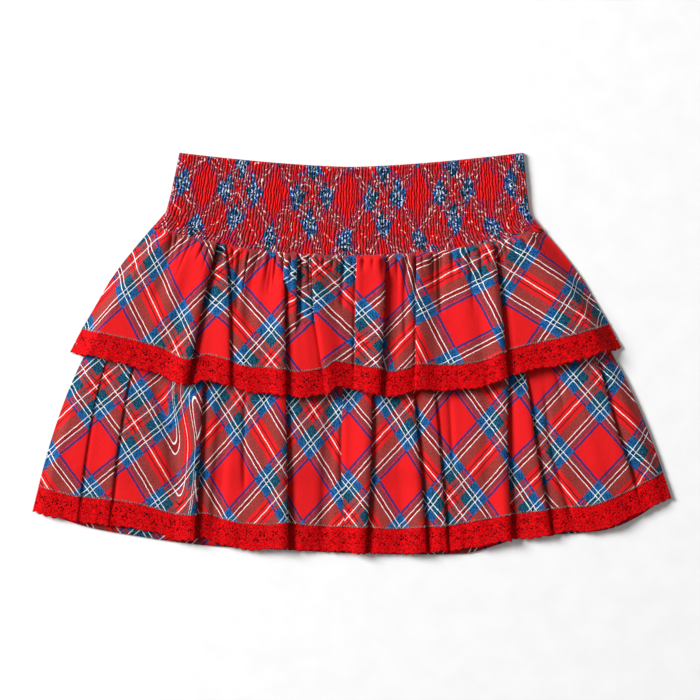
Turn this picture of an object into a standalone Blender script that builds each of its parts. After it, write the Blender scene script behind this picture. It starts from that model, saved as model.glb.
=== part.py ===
"""Tiered mini skort, laid flat with its front up.

Blender units are metres. Sizes below are millimetres and turn into metres when a mesh is made.
+X is to the right of the laid garment, +Y towards the waist, +Z up from the surface.
The origin is under the middle of the garment, on the surface that it rests on.
"""
from collections import namedtuple
import math
import random

import bpy

MM = 0.001

# Cloth and the order of its layers, from the surface up
CLOTH = 1.0
GAP = 0.3
LAYER = CLOTH + GAP
SHORTS_BACK_Z = 2 * LAYER
SHORTS_FRONT_Z = 3 * LAYER
LOWER_FRONT_Z = 4 * LAYER
UPPER_FRONT_Z = 5 * LAYER

# Waistband: the smocked tube, pressed flat
BAND_THICK = 3.3
#              down   left    right
BAND_EDGES = ((0.0, -164.0, 163.2), (0.4, -170.3, 166.5), (0.65, -174.4, 168.2),
              (0.82, -179.0, 171.5), (1.0, -189.5, 182.0))
BAND_TOP_Y = 178.2
BAND_TOP_RISE = 13.5
BAND_TOP_HALF = 164.0
BAND_TOP_POWER = 1.5
SMOCK_COLUMNS = 92
SMOCK_ROWS = 10
SMOCK_RELIEF = 1.0
SMOCK_SEED = 7

# Waist seam, where every layer is sewn to the waistband
SEAM_Y = 92.0
SEAM_RISE = 27.0
SEAM_HALF = 185.0
SEAM_POWER = 2.3

# Lace edging
LACE_WIDTH = 24.0
LACE_FLARE = 0.9
TOOTH = 1.6
COLUMN_PITCH = 7.6

# Gathered folds. The steps are where a fold lies over its neighbour.
CREST_SHARE = 0.72
DROP = 2.2
RISE_REACH = 19.0
RECESS_REACH = 13.0
VALLEY_HALF = 6.0
PINCH_HALF = 2.6
RIDGE_HALF = 13.0
FOLD_LIFT = 2.6
FADE = 0.14
STEEPEST_WALL = 4.0

# x of its line at the seam, halfway, lower down and at the hem; where it starts and ends
Fold = namedtuple("Fold", "name kind top half low hem hem_y start end height")
STATIONS = (0.0, 0.5, 0.75, 1.0)
LOWER_SEAM_SHARE = 0.70


def upper_fold(name, kind, top, mid, hem, hem_y, start=0.0, end=1.0, height=0.0):
    """One row of the upper tier: its x at the seam, halfway and at the hem."""
    low = (mid + hem) / 2
    return Fold(name, kind, top, mid, low, hem, hem_y, start, end, height)


def lower_fold(name, kind, half, low, hem, hem_y, start=0.0, end=1.0, height=0.0):
    """One row of the lower tier: its x under the upper lace, lower down and at the hem."""
    top = LOWER_SEAM_SHARE * half
    return Fold(name, kind, top, half, low, hem, hem_y, start, end, height)


#           name          kind      top     mid     hem     hem_y  start end  height
UPPER_FOLDS = (
    upper_fold("left_edge", "free", -190.0, -228.6, -257.0, 23.7),
    upper_fold("left_crease", "valley", -170.7, -180.0, -205.0, 12.5, 0.05, 0.6, 2.5),
    upper_fold("left_roll", "ridge", -144.1, -168.8, -182.1, 6.6, 0.0, 0.8, 3.5),
    upper_fold("left_drop", "left", -130.5, -143.2, -153.6, -5.2, 0.0, 1.0, 9.0),
    upper_fold("left_bay", "free", -126.5, -131.0, -137.5, -1.0),
    upper_fold("twin_drop", "left", -121.0, -117.0, -116.0, -6.0, 0.0, 1.0, 4.0),
    upper_fold("twin_pinch", "pinch", -106.1, -109.0, -105.2, -10.5, 0.0, 0.5, 2.5),
    upper_fold("slant_valley", "valley", -88.0, -98.0, -91.9, -12.4, 0.0, 0.65, 3.0),
    upper_fold("short_pinch", "pinch", -75.0, -79.5, -79.5, -13.0, 0.0, 0.35, 2.0),
    upper_fold("centre_left_drop", "left", -64.3, -65.3, -64.3, -14.7, 0.25, 1.0, 7.0),
    upper_fold("gather_drop", "left", -52.9, -53.4, -51.0, -17.1, 0.0, 0.6, 5.0),
    upper_fold("rise_over", "right", -36.3, -33.9, -26.0, -13.5, 0.0, 1.0, 6.0),
    upper_fold("rise_flat", "free", -22.5, -22.5, -15.9, -6.7),
    upper_fold("middle_pinch", "pinch", -7.8, -8.9, -6.4, -8.1, 0.0, 0.45, 3.0),
    upper_fold("middle_valley", "valley", 6.0, 4.6, 4.1, -10.0, 0.0, 1.0, 3.0),
    upper_fold("centre_right_drop", "left", 29.7, 28.5, 25.9, -13.8, 0.0, 1.0, 8.0),
    upper_fold("recess_valley", "valley", 40.2, 41.6, 38.0, -16.4, 0.1, 0.95, 3.0),
    upper_fold("recess_pinch", "pinch", 50.6, 50.5, 51.6, -14.3, 0.0, 0.7, 2.5),
    upper_fold("right_over", "right", 63.0, 63.0, 62.0, -9.6, 0.0, 1.0, 6.0),
    upper_fold("right_pinch", "pinch", 82.0, 84.8, 91.5, -10.4, 0.0, 0.5, 3.0),
    upper_fold("right_roll", "ridge", 104.8, 108.6, 114.3, -8.6, 0.0, 1.0, 2.5),
    upper_fold("right_gather", "pinch", 121.0, 125.7, 128.5, -5.0, 0.0, 0.3, 2.0),
    upper_fold("right_drop", "left", 131.4, 138.0, 142.8, 1.8, 0.0, 1.0, 9.0),
    upper_fold("right_bay", "free", 143.7, 151.3, 159.9, 6.7),
    upper_fold("right_fall", "ridge", 162.5, 187.4, 203.6, 16.4, 0.0, 1.0, 2.5),
    upper_fold("right_edge", "free", 182.5, 218.5, 245.4, 28.0),
)

#           name          kind      half    low     hem     hem_y   start end  height
LOWER_FOLDS = (
    lower_fold("left_edge", "free", -256.0, -280.8, -298.1, -126.0),
    lower_fold("outer_drop", "left", -235.3, -249.6, -258.1, -135.9, 0.3, 1.0, 5.0),
    lower_fold("left_drop", "left", -209.7, -221.1, -228.7, -138.7, 0.3, 1.0, 6.0),
    lower_fold("left_flat", "free", -198.3, -198.3, -191.6, -145.4),
    lower_fold("left_valley", "valley", -184.0, -170.7, -166.0, -152.4, 0.5, 0.9, 4.0),
    lower_fold("bay_drop", "left", -143.2, -146.0, -149.8, -153.0, 0.2, 1.0, 8.0),
    lower_fold("bay_floor", "free", -132.7, -135.6, -139.6, -151.6),
    lower_fold("bay_valley", "valley", -116.6, -124.2, -128.5, -155.0, 0.3, 1.0, 4.5),
    lower_fold("bay_pinch", "pinch", -100.4, -102.3, -100.4, -161.4, 0.5, 0.85, 2.5),
    lower_fold("bay_roll", "ridge", -83.3, -83.3, -81.4, -162.0, 0.2, 1.0, 3.0),
    lower_fold("centre_left_drop", "left", -65.3, -64.3, -62.9, -160.4, 0.2, 1.0, 9.0),
    lower_fold("recess", "free", -41.5, -43.4, -45.3, -162.4),
    lower_fold("middle_valley", "valley", -18.0, -22.5, -25.4, -163.8, 0.3, 1.0, 4.0),
    lower_fold("middle_pinch", "pinch", -8.5, -10.0, -6.4, -164.4, 0.6, 0.85, 2.0),
    lower_fold("centre_right_drop", "left", 16.9, 16.0, 12.2, -164.8, 0.2, 1.0, 8.0),
    lower_fold("right_flat", "free", 34.5, 38.3, 38.3, -166.2),
    lower_fold("slant_drop", "left", 56.3, 62.5, 67.7, -164.6, 0.3, 1.0, 7.0),
    lower_fold("slant_valley", "valley", 77.2, 83.4, 88.5, -163.8, 0.5, 1.0, 3.0),
    lower_fold("right_pinch", "pinch", 92.3, 96.3, 103.5, -161.4, 0.45, 0.8, 2.0),
    lower_fold("right_roll", "ridge", 119.0, 120.0, 124.7, -157.2, 0.2, 1.0, 3.0),
    lower_fold("right_drop", "left", 145.6, 145.2, 148.0, -153.2, 0.2, 1.0, 9.0),
    lower_fold("right_valley", "valley", 164.0, 173.0, 184.5, -148.4, 0.3, 1.0, 3.5),
    lower_fold("outer_pinch", "pinch", 181.0, 189.0, 206.5, -145.8, 0.6, 1.0, 2.5),
    lower_fold("short_pinch", "pinch", 195.0, 207.0, 224.5, -144.9, 0.4, 0.6, 2.0),
    lower_fold("outer_roll", "ridge", 215.0, 228.3, 243.5, -139.2, 0.2, 1.0, 3.0),
    lower_fold("outer_valley", "valley", 232.0, 249.0, 269.0, -127.4, 0.45, 0.95, 4.0),
    lower_fold("right_edge", "free", 247.5, 275.2, 296.4, -112.7),
)

# Back hems. The upper one is the mean of the front's; the lower one shows a little past it.
UPPER_BACK_HEM = ((-257.0, 23.7), (-190.0, 8.0), (-110.0, -7.0), (0.0, -13.0), (110.0, -8.0),
                  (190.0, 12.5), (245.4, 28.0))
LOWER_BACK_HEM = ((-299.0, -145.0), (-253.0, -163.6), (-213.0, -171.6), (-135.0, -182.4),
                  (-50.0, -187.2), (0.0, -189.6), (70.0, -191.0), (104.0, -190.0), (137.0, -181.4),
                  (158.0, -173.8), (205.0, -171.0), (235.0, -168.0), (264.0, -156.8), (297.0, -131.5))
BACK_COLUMNS = 56
BACK_STEP_Y = -62.0
BACK_STEP = 10.0
BACK_LACE_LAP = 7.0

# Fronts: how high each layer may lie, and how it comes down to its side seams
SIDE_ROLL = 19.0
LOWER_SIDE_ROLL = 11.0
SHORTS_END_Y = -104.0
SHORTS_FALL = 26.0
LOWER_ROWS = 9
UPPER_ROWS = 6
LOWER_HEIGHT_AT_UPPER_HEM = 7.4
LOWER_SWELL = (0.0, 0.62, 1.0)
UPPER_SWELL = (0.42, 0.8, 1.0)

# Inner shorts, hidden between the layers
SHORTS_OUTLINE = (("waist", 158.0, 107.0), ("hip", 172.0, 60.0), ("thigh", 172.0, 0.0),
                  ("hem", 162.0, -66.0), ("inner hem", 14.0, -72.0), ("crotch", 3.0, -34.0))
SHORTS_WAIST_POINTS = 12


END_LEAN = 0.35


def ease(t):
    """Goes smoothly from 0 to 1 while t does."""
    t = min(max(t, 0.0), 1.0)
    return t * t * (3.0 - 2.0 * t)


def through(stations, values, at):
    """Height of a smooth curve through a few points that doesn't overshoot between them."""
    last = len(stations) - 1
    k = 0
    while k < last - 1 and at > stations[k + 1]:
        k += 1
    slopes = [(values[i + 1] - values[i]) / (stations[i + 1] - stations[i]) for i in range(last)]

    def tangent(i):
        if i == 0 or i == last:
            end, next_in = (0, 1) if i == 0 else (last - 1, last - 2)
            return slopes[end] + END_LEAN * (slopes[end] - slopes[next_in])
        before, after = slopes[i - 1], slopes[i]
        if before * after <= 0.0:
            return 0.0
        return 2.0 * before * after / (before + after)

    span = stations[k + 1] - stations[k]
    t = (at - stations[k]) / span
    if t > 1.0:
        return values[k + 1] + tangent(k + 1) * (t - 1.0) * span
    cube = t * t * (3.0 - 2.0 * t)
    return (values[k] + (values[k + 1] - values[k]) * cube
            + tangent(k) * span * t * (1.0 - t) ** 2
            - tangent(k + 1) * span * t * t * (1.0 - t))


def seam_y(x):
    """The waist seam, lowest in the middle."""
    return SEAM_Y + SEAM_RISE * abs(x / SEAM_HALF) ** SEAM_POWER


def waist_y(x):
    """The waistband's upper edge, which dips in the middle."""
    return BAND_TOP_Y + BAND_TOP_RISE * abs(x / BAND_TOP_HALF) ** BAND_TOP_POWER


def band_edge(side, v):
    """x of the waistband's left or right edge, from its top (v = 0) to the seam (v = 1)."""
    column = {"left": 1, "right": 2}[side]
    return through([row[0] for row in BAND_EDGES], [row[column] for row in BAND_EDGES], v)


# ---------------------------------------------------------------- fold shapes

def fold_x(fold, v):
    """x of a fold's line at v, from the seam (0) to the hem (1)."""
    return through(STATIONS, (fold.top, fold.half, fold.low, fold.hem), v)


def fold_strength(fold, v):
    """How much of a fold's height is there at v: it fades at an end inside the panel."""
    grow = 1.0 if fold.start <= 0.0 else ease((v - fold.start) / FADE + 0.5)
    fade = 1.0 if fold.end >= 1.0 else 1.0 - ease((v - fold.end) / FADE + 0.5)
    return grow * fade


def fold_height(fold, d):
    """Height of one fold at a distance d to the right of its line."""
    if fold.kind == "valley":
        return -fold.height * math.exp(-(d / VALLEY_HALF) ** 2)
    if fold.kind == "pinch":
        return -fold.height * math.exp(-(d / PINCH_HALF) ** 2)
    if fold.kind == "ridge":
        return fold.height * math.exp(-(d / RIDGE_HALF) ** 2)
    if fold.kind == "free":
        return 0.0
    if fold.kind == "right":
        d = -d
    crest = CREST_SHARE * fold.height
    recess = crest - fold.height
    if d < -DROP / 2:
        return crest * (1.0 - ease((-d - DROP / 2) / RISE_REACH))
    if d > DROP / 2:
        return recess * (1.0 - ease((d - DROP / 2) / RECESS_REACH))
    return crest + (recess - crest) * ease(d / DROP + 0.5)


class Tier:
    """A gathered front panel: its folds give its columns, its outline and its waves."""

    def __init__(self, folds, swell, rows):
        self.folds = folds
        self.swell = swell
        self.rows = rows
        self.columns = self.make_columns()

    def make_columns(self):
        """(fold index, share of the way to the next fold, offset from the fold) for each column."""
        columns = []
        for k, fold in enumerate(self.folds):
            half = 0.0 if fold.kind == "free" or fold.kind == "ridge" else DROP / 2
            if half:
                columns.append((k, 0.0, -half))
                if fold.kind in ("valley", "pinch"):
                    columns.append((k, 0.0, 0.0))
                columns.append((k, 0.0, half))
            else:
                columns.append((k, 0.0, 0.0))
            if k + 1 < len(self.folds):
                span = self.folds[k + 1].hem - fold.hem
                between = max(1, round(span / COLUMN_PITCH) - 1)
                for i in range(between):
                    columns.append((k, (i + 1.0) / (between + 1.0), 0.0))
        return columns

    def column_x(self, column, v):
        k, share, offset = column
        here = fold_x(self.folds[k], v)
        if share == 0.0:
            return here + offset
        there = fold_x(self.folds[k + 1], v)
        return here + (there - here) * share

    def hem_y(self, x):
        return through([f.hem for f in self.folds], [f.hem_y for f in self.folds], x)

    def place(self, column, v):
        """x, y of a column at v. Past the hem (v over 1) it runs on along the lace."""
        down = min(v, 1.0)
        x = self.column_x(column, down)
        top_x = self.column_x(column, 0.0)
        hem_x = self.column_x(column, 1.0)
        top = seam_y(top_x) - GAP
        hem = self.hem_y(hem_x)
        y = top + (hem - top) * down
        if v > 1.0:
            run = self.column_x(column, 1.0) - self.column_x(column, 0.8)
            fall = 0.2 * (top - hem)
            angle = LACE_FLARE * math.atan2(run, fall)
            x += (v - 1.0) * math.sin(angle)
            y -= (v - 1.0) * math.cos(angle)
        return x, y

    def wave(self, x, v):
        """Height of all the folds together, never below the layer they lie on."""
        down = min(v, 1.0)
        total = FOLD_LIFT
        for fold in self.folds:
            if fold.height:
                d = x - fold_x(fold, down)
                total += fold_strength(fold, down) * fold_height(fold, d)
        total *= through((0.0, 0.5, 1.0), self.swell, down)
        return total if total > 1.0 else math.exp(total - 1.0)

    def from_edge(self, x, v):
        """Distance from the nearer side seam."""
        down = min(v, 1.0)
        left = fold_x(self.folds[0], down)
        right = fold_x(self.folds[-1], down)
        return max(0.0, min(x - left, right - x))


def lower_floor(tier, x, y, v):
    """Lowest point of the lower front panel: over the back's layers, and over the shorts."""
    at_seam = 2 * LAYER
    over_shorts = LOWER_FRONT_Z - at_seam
    along = ease((y - SHORTS_END_Y + SHORTS_FALL) / SHORTS_FALL)
    return at_seam + over_shorts * along * ease(tier.from_edge(x, v) / LOWER_SIDE_ROLL)


def lower_top(tier, x, y, v):
    edge = ease(tier.from_edge(x, v) / LOWER_SIDE_ROLL)
    return lower_floor(tier, x, y, v) + CLOTH + edge * tier.wave(x, v)


def upper_floor(tier, x, y, v):
    """Lowest point of the upper front panel: it rolls down to the back at its side seams."""
    hem_share = ease(min(v, 1.0) * 0.9 + 0.05)
    full = UPPER_FRONT_Z + LOWER_HEIGHT_AT_UPPER_HEM * hem_share
    return LAYER + (full - LAYER) * ease(tier.from_edge(x, v) / SIDE_ROLL)


def upper_top(tier, x, y, v):
    edge = ease(tier.from_edge(x, v) / SIDE_ROLL)
    return upper_floor(tier, x, y, v) + CLOTH + edge * tier.wave(x, v)


# ---------------------------------------------------------------- meshes

def finish_mesh(name, vertices, faces, material):
    """Makes an object from millimetre points, smooth but for its sharp rims."""
    mesh = bpy.data.meshes.new(name)
    mesh.from_pydata([(x * MM, y * MM, z * MM) for x, y, z in vertices], [], faces)
    mesh.materials.append(material)
    mesh.shade_smooth()
    mesh.set_sharp_from_angle(angle=math.radians(50.0))
    thing = bpy.data.objects.new(name, mesh)
    GARMENT.objects.link(thing)
    return thing


def closed_wall(name, top, bottom, material):
    """A wall between two grids of rows, closed round its rim. Rows run down, columns right."""
    rows, columns = len(top), len(top[0])
    vertices = [p for row in top for p in row] + [p for row in bottom for p in row]
    under = rows * columns

    def at(r, c):
        return r * columns + c

    faces = []
    for r in range(rows - 1):
        for c in range(columns - 1):
            quad = (at(r, c), at(r + 1, c), at(r + 1, c + 1), at(r, c + 1))
            faces.append(quad)
            faces.append(tuple(i + under for i in reversed(quad)))
    rim = [at(0, c) for c in range(columns)]
    rim += [at(r, columns - 1) for r in range(1, rows)]
    rim += [at(rows - 1, c) for c in range(columns - 2, -1, -1)]
    rim += [at(r, 0) for r in range(rows - 2, 0, -1)]
    for i, here in enumerate(rim):
        there = rim[(i + 1) % len(rim)]
        faces.append((here, there, there + under, here + under))
    return finish_mesh(name, vertices, faces, material)


def toothed_strip(name, head, foot, teeth, depths, material):
    """A lace strip: a row along the hem, a row along its edge and a tooth between columns."""
    columns = len(head)
    tops = list(head) + list(foot) + list(teeth)
    mean_depths = [(a + b) / 2 for a, b in zip(depths, depths[1:])]
    under_z = [z - depth for (_, _, z), depth in zip(tops, depths + depths + mean_depths)]
    vertices = tops + [(x, y, z) for (x, y, _), z in zip(tops, under_z)]
    under = len(tops)
    faces = []
    for c in range(columns - 1):
        face = (c, columns + c, 2 * columns + c, columns + c + 1, c + 1)
        faces.append(face)
        faces.append(tuple(i + under for i in reversed(face)))
        faces.append((c, c + 1, c + 1 + under, c + under))
        for a, b in ((columns + c, 2 * columns + c), (2 * columns + c, columns + c + 1)):
            faces.append((b, a, a + under, b + under))
    last = columns - 1
    faces.append((columns, 0, under, columns + under))
    faces.append((last, columns + last, columns + last + under, last + under))
    return finish_mesh(name, vertices, faces, material)


def cloth_material(name, colour, roughness):
    material = bpy.data.materials.new(name)
    material.use_nodes = True
    shader = material.node_tree.nodes["Principled BSDF"]
    shader.inputs["Base Color"].default_value = (*colour, 1.0)
    shader.inputs["Roughness"].default_value = roughness
    shader.inputs["Metallic"].default_value = 0.0
    material.diffuse_color = (*colour, 1.0)
    return material


# ---------------------------------------------------------------- waistband

def waistband_front(material):
    """Smocked front: puckers raised in the outer points over a plain inside."""
    noise = random.Random(SMOCK_SEED)
    inside_z = BAND_THICK + GAP
    top, bottom = [], []
    for r in range(SMOCK_ROWS + 1):
        v = r / SMOCK_ROWS
        left, right = band_edge("left", v), band_edge("right", v)
        top_row, bottom_row = [], []
        for c in range(SMOCK_COLUMNS + 1):
            x = left + (right - left) * c / SMOCK_COLUMNS
            y = waist_y(x) + (seam_y(x) - waist_y(x)) * v
            pucker = 1.0 if (c + r // 2) % 2 else -1.0
            pucker *= SMOCK_RELIEF * (0.35 + 0.35 * noise.random())
            edge = ease(min(c, SMOCK_COLUMNS - c) / 3.0)
            z = inside_z + BAND_THICK - 1.4 * (1.0 - edge) + pucker * edge
            top_row.append((x, y, z))
            bottom_row.append((x, y, inside_z))
        top.append(top_row)
        bottom.append(bottom_row)
    return closed_wall("waistband_front", top, bottom, material)


def waistband_back(material):
    """The band's back lies on the surface, flat on both sides."""
    rows = 5
    top = []
    for r in range(rows):
        v = r / (rows - 1)
        left, right = band_edge("left", v), band_edge("right", v)
        xs = [left + (right - left) * c / 24 for c in range(25)]
        top.append([(x, waist_y(x) + (seam_y(x) - waist_y(x)) * v, BAND_THICK) for x in xs])
    bottom = [[(x, y, 0.0) for x, y, _ in row] for row in top]
    return closed_wall("waistband_back", top, bottom, material)


# ---------------------------------------------------------------- tiers and laces

def wall_depth(top, r, c):
    """Upright depth that keeps a sloping wall one cloth thick, capped where it is steepest."""
    row = top[r]
    a, b = row[max(c - 1, 0)], row[min(c + 1, len(row) - 1)]
    slope = abs(b[2] - a[2]) / max(abs(b[0] - a[0]), 0.1)
    return min(CLOTH * math.sqrt(1.0 + slope * slope), STEEPEST_WALL)


def front_panel(name, tier, top_of, floor_of, material):
    top = []
    floors = []
    for r in range(tier.rows + 1):
        v = r / tier.rows
        places = [tier.place(column, v) for column in tier.columns]
        top.append([(x, y, top_of(tier, x, y, v)) for x, y in places])
        floors.append([floor_of(tier, x, y, v) for x, y in places])
    bottom = []
    for r, row in enumerate(top):
        bottom.append([(x, y, max(z - wall_depth(top, r, c), floors[r][c]))
                       for c, (x, y, z) in enumerate(row)])
    return closed_wall(name, top, bottom, material)


def front_lace(name, tier, top_of, floor_of, material):
    """The lace carries on from the hem's columns, with a tooth between each pair."""
    def point(column, run):
        x, y = tier.place(column, 1.0 + run)
        edge_x = tier.column_x(column, 1.0)
        return x, y, top_of(tier, edge_x, tier.hem_y(edge_x), 1.0)

    head = [point(column, GAP) for column in tier.columns]
    foot = [point(column, LACE_WIDTH) for column in tier.columns]
    teeth = []
    for a, b in zip(foot, foot[1:]):
        span = math.hypot(b[0] - a[0], b[1] - a[1])
        reach = min(TOOTH, 0.35 * span)
        out_x, out_y = (b[1] - a[1]) / span, (a[0] - b[0]) / span
        teeth.append(((a[0] + b[0]) / 2 + out_x * reach, (a[1] + b[1]) / 2 + out_y * reach,
                      (a[2] + b[2]) / 2))
    depths = []
    for c, (x, y, z) in enumerate(head):
        edge_x = tier.column_x(tier.columns[c], 1.0)
        floor = floor_of(tier, edge_x, tier.hem_y(edge_x), 1.0)
        depths.append(min(wall_depth([head], 0, c), z - floor))
    return toothed_strip(name, head, foot, teeth, depths, material)


def back_point(tier, hem, share, v):
    """x, y of a back panel at a share of its width and at v, between the front's side seams."""
    sides = []
    for edge, low in ((tier.folds[0], hem[0][1]), (tier.folds[-1], hem[-1][1])):
        top = seam_y(edge.top) - GAP
        sides.append(fold_x(edge, v * (top - low) / (top - edge.hem_y)))
    left, right = sides
    top = seam_y(tier.folds[0].top + (tier.folds[-1].top - tier.folds[0].top) * share) - GAP
    low = back_hem_y(hem, share)
    return left + (right - left) * share, top + (low - top) * v


def back_hem_y(hem, share):
    x = hem[0][0] + (hem[-1][0] - hem[0][0]) * share
    return through([p[0] for p in hem], [p[1] for p in hem], x)


def back_row(tier, hem, v):
    return [back_point(tier, hem, c / BACK_COLUMNS, v) for c in range(BACK_COLUMNS + 1)]


def upper_back(tier, material):
    rows = 4
    top = [[(x, y, CLOTH) for x, y in back_row(tier, UPPER_BACK_HEM, r / rows)]
           for r in range(rows + 1)]
    bottom = [[(x, y, 0.0) for x, y, _ in row] for row in top]
    return closed_wall("upper_tier_back", top, bottom, material)


def back_lace(name, edge, width, material):
    """Lace below a back hem, flat on the surface."""
    head, foot = [], []
    for c, (x, y) in enumerate(edge):
        a, b = edge[max(c - 1, 0)], edge[min(c + 1, len(edge) - 1)]
        span = math.hypot(b[0] - a[0], b[1] - a[1])
        out_x, out_y = (b[1] - a[1]) / span, (a[0] - b[0]) / span
        head.append((x + out_x * GAP, y + out_y * GAP, CLOTH))
        foot.append((x + out_x * width, y + out_y * width, CLOTH))
    teeth = []
    for a, b in zip(foot, foot[1:]):
        span = math.hypot(b[0] - a[0], b[1] - a[1])
        teeth.append(((a[0] + b[0]) / 2 + (b[1] - a[1]) / span * TOOTH,
                      (a[1] + b[1]) / 2 + (a[0] - b[0]) / span * TOOTH, CLOTH))
    return toothed_strip(name, head, foot, teeth, [CLOTH] * len(head), material)


def lower_back(tier, material):
    """The longest layer: it lies over the upper back, then on the surface, then on its lace."""
    columns = []
    for c in range(BACK_COLUMNS + 1):
        share = c / BACK_COLUMNS
        top = back_point(tier, LOWER_BACK_HEM, share, 0.0)[1]
        low = back_hem_y(LOWER_BACK_HEM, share)
        step, lace_top = BACK_STEP_Y + BACK_STEP, low + LACE_WIDTH + BACK_LACE_LAP
        ys = (top, top + (step - top) / 3, top + (step - top) * 2 / 3, step, BACK_STEP_Y,
              (BACK_STEP_Y + lace_top) / 2, lace_top, lace_top - BACK_LACE_LAP + GAP, low)
        places = [back_point(tier, LOWER_BACK_HEM, share, (top - y) / (top - low)) for y in ys]
        lifted = (1, 1, 1, 1, 0, 0, 0, 1, 1)
        columns.append([(x, y, LAYER * up) for (x, y), up in zip(places, lifted)])
    bottom = [list(row) for row in zip(*columns)]
    top_grid = [[(x, y, z + CLOTH) for x, y, z in row] for row in bottom]
    return closed_wall("lower_tier_back", top_grid, bottom, material)


def lower_back_lace(tier, material):
    """The lower back lace is laid on the outside of its hem, just inside the cloth's edge."""
    head, foot = [], []
    for c in range(BACK_COLUMNS + 1):
        share = c / BACK_COLUMNS
        top = back_point(tier, LOWER_BACK_HEM, share, 0.0)[1]
        low = back_hem_y(LOWER_BACK_HEM, share)
        for row, above in ((head, LACE_WIDTH), (foot, 2 * TOOTH)):
            v = (top - low - above) / (top - low)
            x, y = back_point(tier, LOWER_BACK_HEM, share, v)
            row.append((x, y, CLOTH))
    teeth = [((a[0] + b[0]) / 2, (a[1] + b[1]) / 2 - TOOTH, CLOTH) for a, b in zip(foot, foot[1:])]
    depths = [CLOTH] * len(head)
    return toothed_strip("lower_lace_back", head, foot, teeth, depths, material)


# ---------------------------------------------------------------- shorts

def shorts_panel(name, z, material):
    """A flat pair of short legs, sewn in at the waist seam."""
    rows = {row: (x, y) for row, x, y in SHORTS_OUTLINE}
    waist = rows["waist"][0]
    outline = []
    for i in range(SHORTS_WAIST_POINTS + 1):
        x = -waist + 2 * waist * i / SHORTS_WAIST_POINTS
        outline.append((x, seam_y(x) - GAP))
    right = [rows[part] for part in ("hip", "thigh", "hem", "inner hem", "crotch")]
    outline += right
    outline += [(-x, y) for x, y in reversed(right)]
    curve = bpy.data.curves.new(name, "CURVE")
    curve.dimensions = "2D"
    curve.fill_mode = "BOTH"
    curve.extrude = CLOTH / 2 * MM
    line = curve.splines.new("POLY")
    line.points.add(len(outline) - 1)
    for point, (x, y) in zip(line.points, outline):
        point.co = (x * MM, y * MM, 0.0, 1.0)
    line.use_cyclic_u = True
    curve.materials.append(material)
    thing = bpy.data.objects.new(name, curve)
    thing.location.z = (z + CLOTH / 2) * MM
    GARMENT.objects.link(thing)
    return thing


for old in list(bpy.data.objects):
    bpy.data.objects.remove(old, do_unlink=True)
GARMENT = bpy.data.collections.new("tiered_mini_skort")
bpy.context.scene.collection.children.link(GARMENT)

tartan = cloth_material("tartan_cotton", (0.62, 0.03, 0.04), 0.85)
smocked = cloth_material("smocked_tartan", (0.50, 0.03, 0.06), 0.88)
lace = cloth_material("cotton_lace", (0.58, 0.01, 0.015), 0.8)
plain = cloth_material("plain_cotton", (0.45, 0.02, 0.02), 0.85)

upper = Tier(UPPER_FOLDS, UPPER_SWELL, UPPER_ROWS)
lower = Tier(LOWER_FOLDS, LOWER_SWELL, LOWER_ROWS)

waistband_front(smocked)
waistband_back(smocked)
front_panel("upper_tier_front", upper, upper_top, upper_floor, tartan)
front_lace("upper_lace_front", upper, upper_top, upper_floor, lace)
front_panel("lower_tier_front", lower, lower_top, lower_floor, tartan)
front_lace("lower_lace_front", lower, lower_top, lower_floor, lace)
upper_back(upper, tartan)
back_lace("upper_lace_back", back_row(upper, UPPER_BACK_HEM, 1.0), LACE_WIDTH, lace)
lower_back(lower, tartan)
lower_back_lace(lower, lace)
shorts_panel("shorts_back", SHORTS_BACK_Z, plain)
shorts_panel("shorts_front", SHORTS_FRONT_Z, plain)
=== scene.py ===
import math

import bpy
import numpy as np
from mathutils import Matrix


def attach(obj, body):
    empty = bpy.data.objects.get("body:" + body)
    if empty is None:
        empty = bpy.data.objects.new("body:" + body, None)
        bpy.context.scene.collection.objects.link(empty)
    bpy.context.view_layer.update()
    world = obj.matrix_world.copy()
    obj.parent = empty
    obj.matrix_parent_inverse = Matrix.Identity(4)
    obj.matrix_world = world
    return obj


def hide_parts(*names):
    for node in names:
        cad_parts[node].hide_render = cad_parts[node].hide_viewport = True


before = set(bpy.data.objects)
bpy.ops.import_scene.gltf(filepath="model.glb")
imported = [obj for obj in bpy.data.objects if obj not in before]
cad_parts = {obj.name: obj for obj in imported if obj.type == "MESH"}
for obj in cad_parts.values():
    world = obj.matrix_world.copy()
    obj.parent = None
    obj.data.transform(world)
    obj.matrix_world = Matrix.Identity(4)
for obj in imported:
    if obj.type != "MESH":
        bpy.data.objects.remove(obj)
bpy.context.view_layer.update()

# Tiered mini skort laid flat, front up. Sizes are millimetres until a mesh is made.
# +X is to the right of the laid garment, +Y towards the waist, +Z up from the table.

scene = bpy.context.scene
mm = 0.001
print("frame loaded with", len(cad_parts), "nodes")


# The layers and the folds, at the same places as in the solids

layers = {"cloth": 1.0, "gap": 0.3}
layerStep = layers["cloth"] + layers["gap"]
lowerFrontZ = 4 * layerStep
upperFrontZ = 5 * layerStep

waist = {
    "topY": 178.2, "topRise": 13.5, "topHalf": 164.0, "topPower": 1.5,
    "seamY": 92.0, "seamRise": 27.0, "seamHalf": 185.0, "seamPower": 2.3,
    "down": (0.0, 0.4, 0.65, 0.82, 1.0),
    "left": (-164.0, -170.3, -174.4, -179.0, -189.5),
    "right": (163.2, 166.5, 168.2, 171.5, 182.0),
}

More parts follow.
